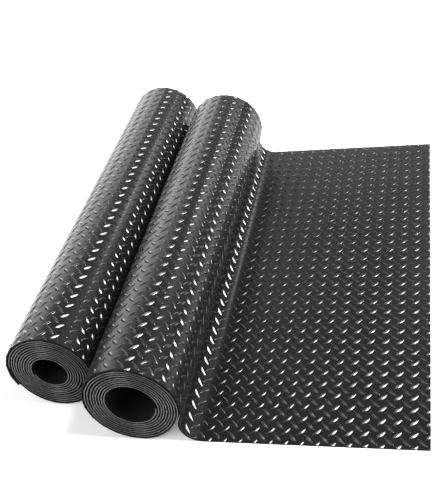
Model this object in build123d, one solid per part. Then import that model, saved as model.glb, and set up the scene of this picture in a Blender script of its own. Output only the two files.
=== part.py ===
"""Two tread-plate rubber floor mats: the front one partly unrolled, the rear one fully rolled.

Each mat is one moulded sheet, cut here into named sections that can move against each other.
Millimetres, +Z up, Y along the rolls, origin on the floor at the centre of the footprint.
"""

import math
import os

from build123d import *

os.makedirs("parts", exist_ok=True)

# Driving dimensions
mat_width = 1000.0  # length of each roll
thickness = 4.0  # overall, over the raised treads
turn_pitch = 5.1  # from one turn of a roll to the next
cells_across = 34  # tread cells over the width of the mat
joint_gap = 0.4  # clear slot between two sections that hinge

front_radius = 98.0
front_turns = 9
foot_x = 122.0  # where the unrolled sheet meets the floor, from the roll's axis
hinge_x = 190.0  # first bend line of the free end, from the roll's axis
strip_count = 12

rear_radius = 95.0
rear_turns = 11
roll_gap = 3.0  # between the two rolls, along the floor
rear_shift = 80.0  # how far the rear roll is pushed back along Y

tail_end = -25.0  # angle above the horizontal where the loose end of the rear roll stops
tail_count = 5  # sections of the loose end, each one tread cell long

# Every turn drops to the next one inside this sector, seen from the roll's axis
step_from = 270.0
step_to = 340.0
inner_end = 262.0  # where the sheet ends inside the roll

# Worked out from the driving dimensions
strip_length = mat_width / cells_across
rear_x = -2 * math.sqrt(front_radius * rear_radius) - roll_gap
sheet_end = hinge_x + strip_count * strip_length
tail_step = math.degrees(strip_length / (rear_radius - thickness / 2))
tail_start = tail_end + tail_count * tail_step
middle_x = (rear_x - rear_radius + sheet_end) / 2
middle_y = (mat_width + rear_shift) / 2

ramp_radius = foot_x**2 / (4 * (front_radius - thickness / 2))  # of the sheet's middle line
leave_angle = math.degrees(math.atan2(ramp_radius - front_radius + thickness / 2, foot_x))


def section(outline, y):
    """Extrudes an outline drawn in X and Z over the mat's width, from y on."""
    plane = Plane(origin=(0, y, 0), x_dir=(1, 0, 0), z_dir=(0, -1, 0))
    return extrude(plane * outline, amount=-mat_width)


def band(arcs):
    """A strip of the mat's thickness along joined arcs, each (centre, outer radius, start, end)."""
    outer = [CenterArc(c, r, a, b - a) for c, r, a, b in arcs]
    inner = [CenterArc(c, r - thickness, a, b - a) for c, r, a, b in arcs]
    ends = [Line(outer[0] @ 0, inner[0] @ 0), Line(outer[-1] @ 1, inner[-1] @ 1)]
    return make_face([*outer, *inner, *ends])


def polar(angle, length):
    return (length * math.cos(math.radians(angle)), length * math.sin(math.radians(angle)))


def turn(radius, start):
    """One turn of a roll about the origin, from the start angle down to the next turn."""
    fold = math.radians(step_to - step_from)
    a, b = 2 * (1 - math.cos(fold)), 4 * turn_pitch
    shift = (b + math.sqrt(b**2 - 4 * a * turn_pitch**2)) / (2 * a)
    middle = (step_from + step_to) / 2
    return [
        ((0, 0), radius, start, step_from),
        (polar(step_from, shift), radius - shift, step_from, middle),
        (polar(step_to, -shift), radius - turn_pitch + shift, middle, step_to),
    ]


def roll(radius, turns, start):
    """The outlines of a roll's outer, middle and inner turns, about its own axis."""
    first, second = turns // 3, 2 * turns // 3
    groups = [range(first), range(first, second), range(second, turns)]
    outlines = []
    for group in groups:
        arcs = []
        for k in group:
            arcs += turn(radius - k * turn_pitch, start if k == 0 else step_to - 360)
        if turns - 1 in group:
            arcs.append(((0, 0), radius - turns * turn_pitch, step_to - 360, inner_end))
        outlines.append(band(arcs))
    return dict(zip(("outer_turns", "middle_turns", "inner_turns"), outlines))


def flat(x_from, x_to):
    """A flat strip of the mat on the floor."""
    size = x_to - x_from
    return Pos((x_from + x_to) / 2, thickness / 2) * Rectangle(size, thickness)


solids = {}

# Front mat: the roll, the ramp down to the floor, the still part of the sheet, the free end
for name, outline in roll(front_radius, front_turns, leave_angle).items():
    solids[f"front_{name}"] = section(Pos(0, front_radius) * outline, 0)

ramp_centre = (foot_x, thickness / 2 + ramp_radius)
ramp = band([(ramp_centre, ramp_radius + thickness / 2, 180 + leave_angle, 270)])
solids["front_ramp"] = section(ramp, 0)
solids["front_base"] = section(flat(foot_x, hinge_x - joint_gap / 2), 0)

for k in range(strip_count):
    left = hinge_x + k * strip_length + joint_gap / 2
    right = hinge_x + (k + 1) * strip_length
    right -= joint_gap / 2 if k < strip_count - 1 else 0
    solids[f"front_strip_{k + 1:02d}"] = section(flat(left, right), 0)

# Rear mat: a roll wound the other way, with its loose end on the outer side
slot = math.degrees(joint_gap / 2 / rear_radius)
place = Pos(rear_x, rear_shift, rear_radius)

for name, outline in roll(rear_radius, rear_turns, tail_start + slot).items():
    solids[f"rear_{name}"] = place * mirror(section(outline, 0), about=Plane.YZ)

for k in range(tail_count):
    top = tail_start - k * tail_step - slot
    bottom = tail_start - (k + 1) * tail_step + (slot if k < tail_count - 1 else 0)
    outline = band([((0, 0), rear_radius, bottom, top)])
    solids[f"rear_tail_{k + 1}"] = place * mirror(section(outline, 0), about=Plane.YZ)

for name, solid in solids.items():
    solid = Pos(-middle_x, -middle_y, 0) * solid
    solid.label = name
    export_step(solid, f"parts/{name}.step")
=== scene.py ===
"""Looks for two rolls of tread-plate rubber matting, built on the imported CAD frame."""

import math

import bpy
import numpy as np
from mathutils import Matrix, Vector, geometry


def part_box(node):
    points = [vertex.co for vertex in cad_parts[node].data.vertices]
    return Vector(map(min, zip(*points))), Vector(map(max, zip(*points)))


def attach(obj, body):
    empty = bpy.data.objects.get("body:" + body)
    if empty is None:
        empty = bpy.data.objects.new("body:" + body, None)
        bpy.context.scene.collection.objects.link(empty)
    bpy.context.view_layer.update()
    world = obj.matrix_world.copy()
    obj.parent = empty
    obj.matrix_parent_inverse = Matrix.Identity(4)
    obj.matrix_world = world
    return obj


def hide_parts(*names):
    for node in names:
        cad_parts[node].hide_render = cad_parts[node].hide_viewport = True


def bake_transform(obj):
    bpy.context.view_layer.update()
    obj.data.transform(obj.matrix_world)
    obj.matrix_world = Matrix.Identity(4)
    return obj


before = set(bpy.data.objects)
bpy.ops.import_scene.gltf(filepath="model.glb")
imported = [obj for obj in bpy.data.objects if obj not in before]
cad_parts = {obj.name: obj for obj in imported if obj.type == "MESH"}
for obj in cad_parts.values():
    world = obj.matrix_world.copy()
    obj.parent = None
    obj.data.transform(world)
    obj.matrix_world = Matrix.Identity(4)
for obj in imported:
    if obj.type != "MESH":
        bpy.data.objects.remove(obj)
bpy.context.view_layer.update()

# Sizes read from the frame, in metres
front_low, front_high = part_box("front_outer_turns")
rear_low, rear_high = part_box("rear_outer_turns")
base_low, base_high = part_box("front_base")
_, last_strip_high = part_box("front_strip_12")

width = front_high.y - front_low.y
overall = base_high.z
front_radius = front_high.z / 2
front_axis_x = front_low.x + front_radius
rear_radius = rear_high.z / 2
rear_axis_x = rear_high.x - rear_radius
foot_x = base_low.x
free_end_x = last_strip_high.x
strips = 12
tails = 5

# Kinds of face, in the order of the materials: SHADED_EDGE is the sheet's cut edge, in a darker
# copy of the rubber that paints shade on it, and LIT_END that of a roll's inner turns, in a
# lighter copy of the same rubber that paints light on it
GROUND, BAR, BACK, SHADED_EDGE, LIT_END = range(5)

# The moulded sheet
cells_across = 34
cell = width / cells_across
half = cell / 2
tread_height = 0.0012
base_height = overall - tread_height
bar_length = 0.42  # half of each bar's length and width, as shares of the cell
bar_width = 0.12
bar_steps = 4  # stretches along each side of a bar, within a half cell
# A bar's foot and shoulder: shares of its length, width and height, and the rise of the normal
bar_rings = [(1.0, 1.0, 0.0, 57), (0.93, 0.72, 0.46, 63)]
ridge_shares = (0, 0.3, 0.62)  # points along the ridge, from the middle to the tip
ridge_fall = 0.15  # how far the ridge falls towards the tip, as a share of the height
ridge_dip = 0.1  # how far its normals lean towards the tip
ridge_lean = 0.36  # how far the slopes lean apart where they meet on the ridge
plain_steps = 3  # quads along each half cell of plain sheet

# The rolls
turn_pitch = 0.0051
front_turns = 9.1
rear_turns = 11.1
tail_end = -25.0  # angle above the horizontal
step_from = 270.0  # where a roll's outer turn begins to drop to the next
even_after = 6  # turns after which a roll is an even spiral
wave_height = 0.00028  # of the unevenness of the inner turns
wave_counts = (1.31, 2.17)  # waves in each turn


def smooth(t):
    t = np.clip(t, 0, 1)
    return t * t * (3 - 2 * t)


# ---------------------------------------------------------------- paths along the sheet


class Path:
    """The sheet's middle line in X and Z, by length from the loose end.
    flip is 1 if the tread is to the right of the way along it, seen along +Y, or else -1."""

    def __init__(self, points, flip):
        step = np.linalg.norm(np.diff(points, axis=0), axis=1)
        self.s = np.concatenate([[0], np.cumsum(step)])
        self.points, self.flip = points, flip
        along = np.gradient(points, self.s, axis=0)
        along /= np.linalg.norm(along, axis=1)[:, None]
        self.along = along
        self.out = np.stack([along[:, 1], -along[:, 0]], 1) * flip

    def at(self, s):
        """Place, direction along the sheet and direction out of the tread, at lengths s."""
        return [
            np.stack([np.interp(s, self.s, a[:, k]) for k in (0, 1)], 1)
            for a in (self.points, self.along, self.out)
        ]


def spiral(radius, turns, start):
    """Middle line of a roll about its own axis: round and full outside, an even spiral inside."""
    angle = np.arange(0, 360 * turns, 1.5)
    k, within = np.divmod(angle, 360)
    share = within / 360
    drop = smooth((within - (step_from - start)) / (360 - (step_from - start)))
    evenness = smooth(k / even_after)
    offset = k + (1 - evenness) * drop + evenness * share
    long_wave, short_wave = (count * np.radians(angle) for count in wave_counts)
    waves = np.sin(long_wave) + 0.6 * np.sin(short_wave + 1)
    waves *= wave_height * smooth(angle / 720 - 0.5)
    r = radius - overall / 2 - turn_pitch * offset + waves
    phi = np.radians(angle + start)
    return np.stack([r * np.cos(phi), r * np.sin(phi)], 1)


def front_path():
    middle = overall / 2
    reach = foot_x - front_axis_x
    ramp_radius = reach**2 / (4 * (front_radius - middle))
    leave = math.degrees(math.atan2(ramp_radius - front_radius + middle, reach))
    flat_x = np.linspace(free_end_x, foot_x, 60)
    flat = np.stack([flat_x, np.full_like(flat_x, middle)], 1)
    phi = np.radians(np.linspace(270, 180 + leave, 60)[1:-1])
    ramp = np.stack([np.cos(phi), np.sin(phi)], 1) * ramp_radius
    ramp += (foot_x, middle + ramp_radius)
    coil = spiral(front_radius, front_turns, leave) + (front_axis_x, front_radius)
    return Path(np.concatenate([flat, ramp, coil]), 1)


def rear_path():
    coil = spiral(rear_radius, rear_turns, tail_end) * (-1, 1)
    return Path(coil + (rear_axis_x, rear_radius), -1)


# ---------------------------------------------------------------- the tread


def lens(length, wide, steps, tip):
    """Outline of a pointed bar about its centre, over the part that one half cell holds."""
    crossing = (-1 + math.sqrt(1 + 4 * (wide / length) ** 2)) / (2 * wide / length**2)
    if tip:
        along = np.linspace(crossing, length, steps + 1)
        side = wide * (1 - (along / length) ** 2)
        along = np.concatenate([along, along[-2::-1]])
        return along, np.concatenate([side, -side[-2::-1]])
    along = np.linspace(-crossing, crossing, steps + 1)
    return along, wide * (1 - (along / length) ** 2)


def tread_square():
    """A half cell of tread: points (u, v, height), triangles, each corner's normal, and kinds.
    Two bars reach into it: one points into it from (1, 1) and one lies across it at (0, 0)."""
    long, wide = 2 * bar_length, 2 * bar_width
    diagonal, across = np.array([1, 1]) / math.sqrt(2), np.array([1, -1]) / math.sqrt(2)
    points, heights, normals, edges, foot, ridges = [], [], [], [], [], {}

    def add(point, height, normal):
        points.append(Vector(point))
        heights.append(height)
        normals.append(normal)
        return len(points) - 1

    for tip in (True, False):
        centre = np.array([1.0, 1.0]) if tip else np.zeros(2)
        axis = -diagonal if tip else across
        side = across if tip else diagonal
        for length_share, width_share, height, rise in bar_rings:
            a, b = long * length_share, wide * width_share
            rise = math.radians(rise)
            start = len(points)
            for x, y in zip(*lens(a, b, bar_steps, tip)):
                at_tip = abs(y) <= 1e-9
                slope = np.array([1.0, 0.0] if at_tip else [2 * b * x / a**2, math.copysign(1, y)])
                slope /= np.linalg.norm(slope)
                flat = slope[0] * axis + slope[1] * side
                normal = (*(flat * math.cos(rise)), math.sin(rise))
                add(centre + x * axis + y * side, height, normal)
            edges += [(k, k + 1) for k in range(start, len(points) - 1)]
            if height == 0:
                foot.append([*points[start:], Vector(centre)])
        for share in ridge_shares if tip else ridge_shares[:1]:
            ridge = add(centre + axis * long * share, 1 - ridge_fall * share, (0, 0, 1))
            ridges[ridge] = (centre, side, ridge_dip * share * axis)

    between = (math.sqrt(2) * lens(long, wide, bar_steps, True)[0][0] + 1) / 2
    ground = [(0, 1), (1, 0), (between, 0), (0, between), (1, 1 - between), (1 - between, 1)]
    for place in [*ground, (0.75, 0.25), (0.25, 0.75)]:
        add(place, 0, (0, 0, 1))
    out, _, faces, kept, _, _ = geometry.delaunay_2d_cdt(points, edges, [], 0, 1e-5)
    source = [k[0] for k in kept]
    uv = np.array([tuple(p) for p in out])
    height = np.array([heights[k] for k in source])
    normal = np.array([normals[k] for k in source], float)
    faces = np.array([f for f in faces if abs(area(uv[list(f)])) > 1e-7])
    faces = np.array([f if area(uv[f]) > 0 else f[::-1] for f in faces])
    middle = uv[faces].mean(1)
    on_bar = np.array([any(inside(m, ring) for ring in foot) for m in middle])
    corner = np.where(on_bar[:, None, None], normal[faces], np.array([0.0, 0.0, 1.0]))
    for f, face in enumerate(faces):  # a bar is a low roof, so its two slopes meet along a crease
        for c, vertex in enumerate(face):
            if source[vertex] in ridges:
                centre, side, dip = ridges[source[vertex]]
                lean = ridge_lean * side * math.copysign(1, (middle[f] - centre) @ side) + dip
                corner[f, c] = np.array([*lean, 1]) / math.hypot(1, *lean)
    return np.column_stack([uv, height]), faces, corner, np.where(on_bar, BAR, GROUND)


def area(triangle):
    (ax, ay), (bx, by), (cx, cy) = triangle
    return ((bx - ax) * (cy - ay) - (cx - ax) * (by - ay)) / 2


def inside(point, outline):
    x, y = point
    hit = False
    for (ax, ay), (bx, by) in zip(outline, outline[1:] + outline[:1]):
        if (ay > y) != (by > y) and x < (bx - ax) * (y - ay) / (by - ay) + ax:
            hit = not hit
    return hit


square_points, square_faces, square_normals, square_kinds = tread_square()


def turned(m, n):
    """The half cell's mesh as it lies in column m, row n of the tread."""
    points, faces, normals = square_points.copy(), square_faces, square_normals.copy()
    if n % 2:
        points[:, 0] = 1 - points[:, 0]
        normals[:, :, 0] *= -1
    if m % 2:
        points[:, 1] = 1 - points[:, 1]
        normals[:, :, 1] *= -1
    if (m + n) % 2:
        faces, normals = faces[:, ::-1], normals[:, ::-1]
    return points, faces, normals


def tread_field(columns, rows):
    """A field of half cells: points (s, y, height), triangles, corner normals and kinds.
    s and y are counted in half cells."""
    points, faces, normals, count = [], [], [], 0
    for m in range(*columns):
        for n in range(*rows):
            p, f, c = turned(m, n)
            points.append(p + (m, n, 0))
            faces.append(f + count)
            normals.append(c)
            count += len(p)
    points, faces, normals = (np.concatenate(a) for a in (points, faces, normals))
    _, first, same = np.unique(
        np.round(points[:, :2], 4), axis=0, return_index=True, return_inverse=True
    )
    kinds = np.tile(square_kinds, len(faces) // len(square_kinds))
    return points[first], same.reshape(-1)[faces], normals, kinds


def plain_field(columns, rows):
    """The same for a stretch with no tread, which only the inside of a roll has."""
    steps = plain_steps * (columns[1] - columns[0])
    s = np.linspace(*columns, steps + 1)
    points = np.array([(x, y, 0) for x in s for y in rows])
    k = 2 * np.arange(steps)
    faces = np.concatenate([np.stack([k, k + 2, k + 3], 1), np.stack([k, k + 3, k + 1], 1)])
    normals = np.tile(np.array([0.0, 0.0, 1.0]), (len(faces), 3, 1))
    return points, faces, normals, np.full(len(faces), GROUND)


# ---------------------------------------------------------------- meshes

# The rounding of a roll's ends: how far the sheet's faces draw back, the heights of the two lips
# about the middle line, and how far the normals lean, from the tread to the back
lip_depth = 0.001
lip_round = 0.0009
lip_heights = (base_height - overall / 2 - lip_round, lip_round - overall / 2)
lip_leans = (6.0, 0.5, -0.5, -6.0)


def sheet_mesh(
    name,
    path,
    columns,
    rows=(0, 2 * cells_across),
    y_from=0.0,
    plain=False,
    edge=SHADED_EDGE,
    rolled=False,
):
    """A closed stretch of the moulded sheet: tread on top, plain back, cut edges all round.
    columns and rows are its limits along and across the sheet, in half cells. Where a rolled
    stretch reaches a roll's end, its edge is rounded."""
    field = plain_field if plain else tread_field
    points, faces, normals, kinds = field(columns, rows)
    s, y = points[:, 0] * half, points[:, 1] * half + y_from
    rounded = [rolled and limit in (0, 2 * cells_across) for limit in rows]
    for limit, facing, is_end in zip(rows, (-1, 1), rounded):
        if is_end:
            y -= facing * lip_depth * np.clip(1 - np.abs(points[:, 1] - limit), 0, 1)
    rise = base_height + points[:, 2] * tread_height - overall / 2
    place, along, out = path.at(s)
    top, bottom = place + out * rise[:, None], place - out * overall / 2
    t, o = (np.column_stack([a[:, 0], np.zeros(len(s)), a[:, 1]]) for a in (along, out))

    # The tread
    corners = normals[:, :, 0:1] * t[faces] + normals[:, :, 2:3] * o[faces]
    corners[:, :, 1] += normals[:, :, 1]
    polygons, loops, kinds = faces.tolist(), corners.tolist(), kinds.tolist()
    co = [np.column_stack([top[:, 0], y, top[:, 1]])]

    def add(polygon, facing, kind):
        polygons.append([int(v) for v in polygon])
        loops.append([tuple(n) for n in facing])
        kinds.append(kind)

    def rim(axis, limit, by):
        found = np.flatnonzero(np.isclose(points[:, axis], limit))
        return found[np.argsort(by[found])]

    # The back
    sides = [rim(1, limit, s) for limit in rows]
    near, far = (np.arange(len(side)) + len(s) + k * len(sides[0]) for k, side in enumerate(sides))
    co += [np.column_stack([bottom[side, 0], y[side], bottom[side, 1]]) for side in sides]
    below = -o[sides[0]]
    for k in range(len(near) - 1):
        add([near[k], far[k], far[k + 1], near[k + 1]], below[[k, k, k + 1, k + 1]], BACK)

    # The two long edges, from the tread over the lips, if any, to the back
    lips, count = [[], []], len(s) + len(near) + len(far)
    for side, limit, is_end, lip in zip(sides, rows, rounded, lips):
        for height in lip_heights if is_end else ():
            line = place[side] + out[side] * height
            level = np.full(len(side), limit * half + y_from)
            co.append(np.column_stack([line[:, 0], level, line[:, 1]]))
            lip.append(np.arange(len(side)) + count)
            count += len(side)
    for side, floor, lip, facing in ((sides[0], near, lips[0], -1), (sides[1], far, lips[1], 1)):
        lines = [side, *lip, floor]
        leans = lip_leans if lip else (0, 0)
        for upper, lower, a, b in zip(lines, lines[1:], leans, leans[1:]):
            for k in range(len(side) - 1):
                quad = [upper[k], lower[k], lower[k + 1], upper[k + 1]]
                lean = [o[side[k]] * a, o[side[k]] * b, o[side[k + 1]] * b, o[side[k + 1]] * a]
                lean = [v + (0, facing, 0) for v in lean]
                add(quad[::-facing], [tuple(v / np.linalg.norm(v)) for v in lean[::-facing]], edge)

    # The two cuts across the sheet, in the darker cut-edge colour, painted shade
    for limit, k, facing in ((columns[0], 0, -1), (columns[1], -1, 1)):
        ring = [*rim(0, limit, y), *(line[k] for line in (*lips[1], far, near, *lips[0][::-1]))]
        add(ring[::-facing], [t[ring[0]] * facing] * len(ring), SHADED_EDGE)

    if path.flip > 0:
        polygons = [p[::-1] for p in polygons]
        loops = [n[::-1] for n in loops]
    mesh = bpy.data.meshes.new(name)
    mesh.from_pydata(np.concatenate(co).tolist(), [], polygons)
    for material in materials:
        mesh.materials.append(material)
    mesh.polygons.foreach_set("material_index", kinds)
    mesh.polygons.foreach_set("use_smooth", [True] * len(kinds))
    mesh.normals_split_custom_set([n for polygon in loops for n in polygon])
    piece = bpy.data.objects.new(name, mesh)
    bpy.context.scene.collection.objects.link(piece)
    return piece


# ---------------------------------------------------------------- materials

tint_range = 1.35  # the lightest tint, as a share of the colour
gloss_range = 0.05  # of the roughness, to each side
grain_height = 0.0002


def rubber(name, colour, roughness, gloss, grain, depth):
    """Black rubber with a fine moulded grain and a faint unevenness in its colour and gloss."""
    material = bpy.data.materials.new(name)
    material.use_nodes = True
    nodes, links = material.node_tree.nodes, material.node_tree.links
    shader = nodes["Principled BSDF"]
    shader.inputs["Specular IOR Level"].default_value = gloss
    place = nodes.new("ShaderNodeTexCoord")

    def noise(scale, detail):
        node = nodes.new("ShaderNodeTexNoise")
        node.inputs["Scale"].default_value = scale
        node.inputs["Detail"].default_value = detail
        links.new(place.outputs["Object"], node.inputs["Vector"])
        return node.outputs["Fac"]

    def spread(value, low, high):
        node = nodes.new("ShaderNodeMapRange")
        node.inputs["To Min"].default_value = low
        node.inputs["To Max"].default_value = high
        links.new(value, node.inputs["Value"])
        return node.outputs["Result"]

    tint = nodes.new("ShaderNodeMix")
    tint.data_type = "RGBA"
    tint.inputs["A"].default_value = (*colour, 1)
    tint.inputs["B"].default_value = (*(c * tint_range for c in colour), 1)
    links.new(noise(7, 4), tint.inputs["Factor"])
    links.new(tint.outputs["Result"], shader.inputs["Base Color"])
    uneven = spread(noise(16, 3), roughness - gloss_range, roughness + gloss_range)
    links.new(uneven, shader.inputs["Roughness"])
    bump = nodes.new("ShaderNodeBump")
    bump.inputs["Strength"].default_value = depth
    bump.inputs["Distance"].default_value = grain_height
    links.new(noise(grain, 2), bump.inputs["Height"])
    links.new(bump.outputs["Normal"], shader.inputs["Normal"])
    return material


materials = [
    rubber("tread_ground", (0.005, 0.0051, 0.0053), 0.3, 0.4, 900, 0.12),
    rubber("tread_bars", (0.007, 0.0071, 0.0073), 0.2, 1.0, 900, 0.03),
    rubber("back", (0.008, 0.0082, 0.0085), 0.55, 0.3, 500, 0.3),
    # The cut edges and the rolls' inner ends are one rubber: the first copy is darker, painted
    # shade, the second lighter, painted light
    rubber("cut_edge_painted_shade", (0.005, 0.005, 0.005), 0.6, 0.08, 700, 0.4),
    rubber("coil_ends_painted_light", (0.016, 0.0162, 0.0165), 0.3, 0.8, 700, 0.2),
]


# ---------------------------------------------------------------- the two mats


def bending(name, path, hinge, columns, y_from, node):
    """A stretch of sheet about one hinge, hinge half cells along the path, fixed where it lies in
    place of its CAD node.
    """
    piece = sheet_mesh(name, path, columns, y_from=y_from)
    (x0, z0), (x1, z1) = path.at(np.array([hinge + 1, hinge - 1]) * half)[0]
    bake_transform(piece)
    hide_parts(node)


def rigid(name, path, columns, body, y_from, *nodes, edge=LIT_END, rolled=True, **options):
    """A stretch of sheet that moves with one body."""
    # Unless told otherwise, the edges at a roll's ends take the lighter cut-edge colour, painted
    # light
    piece = sheet_mesh(name, path, columns, y_from=y_from, edge=edge, rolled=rolled, **options)
    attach(piece, body)
    if nodes:
        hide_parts(*nodes)


def mat(side, path, free, roll, y_from, sections, still):
    """One mat: the sections at the hinges, then the still stretches, then the inner turns.
    sections gives each such section's CAD node and body, from the roll outwards. still gives
    each still stretch's name, half cells, whether it is rolled, and the CAD nodes it replaces."""
    for k, (node, body) in enumerate(sections):
        hinge = 2 * (len(sections) - k)
        loose = 0 if k == len(sections) - 1 else hinge - 1
        name = f"{side}_{free}_{k + 1:02d}"
        bending(name, path, hinge, (loose, hinge + 1), y_from, node)
    start = 2 * len(sections) + 1
    for name, length, rolled, nodes in still:
        columns = (start, start + length)
        # The still stretches' long edges take the darker cut-edge colour, painted shade
        rigid(f"{side}_{name}", path, columns, roll, y_from, *nodes, edge=SHADED_EDGE, rolled=rolled)
        start += length
    end = int(path.s[-1] / half)
    last = 2 * cells_across
    nodes = [f"{side}_middle_turns", f"{side}_inner_turns"]
    rigid(f"{side}_inner_coil_near", path, (start, end), roll, y_from, rows=(0, 1))
    unseen = {"rows": (1, last - 1), "plain": True}
    rigid(f"{side}_inner_coil", path, (start, end), roll, y_from, *nodes, **unseen)
    rigid(f"{side}_inner_coil_far", path, (start, end), roll, y_from, rows=(last - 1, last))


front, rear = front_path(), rear_path()
mat(
    "front",
    front,
    "free_end",
    "front_roll",
    front_low.y,
    [(f"front_strip_{k + 1:02d}", f"free_end_{k + 1:02d}") for k in range(strips)],
    [
        ("ramp_sheet", 9, False, ["front_ramp", "front_base"]),
        ("outer_coil", 36, True, ["front_outer_turns"]),
    ],
)
mat(
    "rear",
    rear,
    "loose_end",
    "rear_roll",
    rear_low.y,
    [(f"rear_tail_{k + 1}", f"loose_end_{k + 1}") for k in range(tails)],
    [("outer_coil", 32, True, ["rear_outer_turns"])],
)


# ---------------------------------------------------------------- floor, light and camera

bpy.ops.mesh.primitive_plane_add(size=30, location=(0, 0, 0))
floor = bpy.context.object
floor.name = "floor"
paper = bpy.data.materials.new("pale_floor")
paper.use_nodes = True
paper_shader = paper.node_tree.nodes["Principled BSDF"]
paper_shader.inputs["Base Color"].default_value = (0.95, 0.95, 0.95, 1)
paper_shader.inputs["Roughness"].default_value = 0.9
paper_shader.inputs["Emission Color"].default_value = (1, 1, 1, 1)
paper_shader.inputs["Emission Strength"].default_value = 0.25  # keeps the shadows pale
floor.data.materials.append(paper)

scene = bpy.context.scene
scene.view_settings.view_transform = "Standard"
world = bpy.data.worlds.new("studio")
world.use_nodes = True
background = world.node_tree.nodes["Background"]
background.inputs["Color"].default_value = (1, 1, 1, 1)
background.inputs["Strength"].default_value = 0.24
scene.world = world


def softbox(name, place, target, size, power):
    light = bpy.data.lights.new(name, "AREA")
    light.shape = "RECTANGLE"
    light.size, light.size_y = size
    light.energy = power
    lamp = bpy.data.objects.new(name, light)
    lamp.location = place
    lamp.rotation_euler = (Vector(target) - Vector(place)).to_track_quat("-Z", "Y").to_euler()
    scene.collection.objects.link(lamp)


def distant(name, direction, strength, spread):
    light = bpy.data.lights.new(name, "SUN")
    light.energy, light.angle = strength, math.radians(spread)
    lamp = bpy.data.objects.new(name, light)
    lamp.rotation_euler = Vector(direction).to_track_quat("Z", "Y").to_euler()
    scene.collection.objects.link(lamp)


# The parallel lights make the glints on the bars, the softboxes the sheen along the rolls
distant("key", (0.57, 0.05, 0.82), 3.1, 19)
distant("right", (0.73, 0.23, 0.65), 1.4, 15)
distant("left_fill", (-0.5, -0.35, 0.79), 0.9, 60)
softbox("back_left", (-1.55, 1.8, 0.95), (-0.2, -0.1, 0.15), (2.1, 1.7), 32)
softbox("back_right", (0.8, 2.1, 1.5), (-0.1, 0, 0.1), (0.2, 0.9), 7)
softbox("back", (0, 2.3, 1), (0.2, 0.2, 0), (0.8, 0.4), 1.8)
softbox("front_fill", (-1.6, -2.6, 1.6), (-0.2, -0.5, 0), (1.6, 1.6), 34)

# The camera's place is given from the front roll's near end, in that roll's radii
camera_reach = Vector((5.95, -9.86, 12.89)) * front_radius
camera_place = Vector((front_axis_x, front_low.y, 0)) + camera_reach
yaw, pitch, roll = (math.radians(a) for a in (19.0, 35.9, -13.1))
ahead = Vector((-math.sin(yaw), math.cos(yaw), 0))
level = Vector((math.cos(yaw), math.sin(yaw), 0))
forward = ahead * math.cos(pitch) + Vector((0, 0, -math.sin(pitch)))
right = level * math.cos(roll) + level.cross(forward) * math.sin(roll)
up = right.cross(forward)

camera = bpy.data.objects.new("camera", bpy.data.cameras.new("camera"))
turn = Matrix((right, up, -forward)).transposed()
camera.matrix_world = Matrix.Translation(camera_place) @ turn.to_4x4()
camera.data.sensor_width = 36
camera.data.lens = 61.2
camera.data.shift_y = -0.05
camera.data.clip_start = 0.01
camera.data.clip_end = 100
scene.collection.objects.link(camera)
scene.camera = camera
